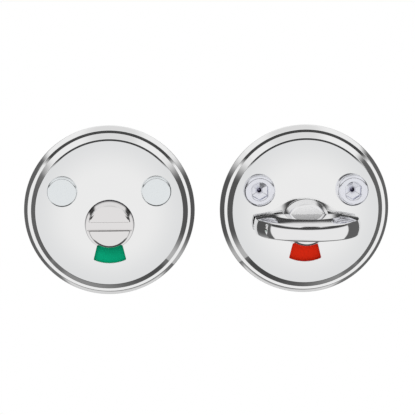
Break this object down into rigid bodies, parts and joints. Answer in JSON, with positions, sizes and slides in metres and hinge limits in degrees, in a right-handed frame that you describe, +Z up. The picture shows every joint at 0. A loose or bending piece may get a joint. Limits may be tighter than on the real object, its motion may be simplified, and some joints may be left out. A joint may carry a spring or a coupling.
{
  "type": "toilet indicator set",
  "caption": "Round polished door roses of a toilet lock: a coin-slot release with a green flag, a half-moon thumb turn with a red flag, and the spindle, screws and sleeve nuts behind them.",
  "frame": {"origin": "on the inside half's spindle axis, at the plane of the door", "axes": "+X to the right seen from the front, +Y into the door, +Z up"},
  "size_m": [0.118, 0.0742, 0.055],
  "materials": {
    "polished_metal": "polished",
    "sleeve_metal": "satin",
    "zinc_steel": "satin",
    "grey_metal": "matte",
    "spring_steel": "satin",
    "pin_steel": "satin",
    "washer_brass": "satin",
    "nylon": "matte",
    "flag_plastic": "matte",
    "green_foil": "satin",
    "red_foil": "satin"
  },
  "bodies": {
    "roses": {"outside_rose": "polished_metal", "outside_base_plate": "grey_metal", "outside_bush": "nylon", "outside_detent_spring": "spring_steel", "outside_thrust_washer": "washer_brass", "outside_stop_pin": "pin_steel", "sleeve_nuts": "sleeve_metal", "inside_rose": "polished_metal", "inside_base_plate": "grey_metal", "inside_bush": "nylon", "inside_detent_spring": "spring_steel", "inside_thrust_washer": "washer_brass", "inside_stop_pin": "pin_steel", "fixing_screws": "zinc_steel"},
    "outside_turn": {"coin_turn": "polished_metal", "outside_flag_disc": "flag_plastic", "outside_green_foil": "green_foil", "outside_red_foil": "red_foil", "outside_circlip": "spring_steel"},
    "inside_turn": {"thumb_turn": "polished_metal", "inside_flag_disc": "flag_plastic", "inside_green_foil": "green_foil", "inside_red_foil": "red_foil", "inside_circlip": "spring_steel", "spindle": "zinc_steel", "spindle_cross_pin": "pin_steel"}
  },
  "joints": [
    {"name": "coin_turn_hinge", "type": "hinge", "parent": "roses", "child": "outside_turn", "pos_m": [-0.063, 0, 0], "axis": [0, -1, 0], "range_deg": [0, 90], "deforming": ["outside_detent_spring"]},
    {"name": "thumb_turn_hinge", "type": "hinge", "parent": "roses", "child": "inside_turn", "pos_m": [0, 0, 0], "axis": [0, -1, 0], "range_deg": [0, 90], "deforming": ["inside_detent_spring"]}
  ]
}
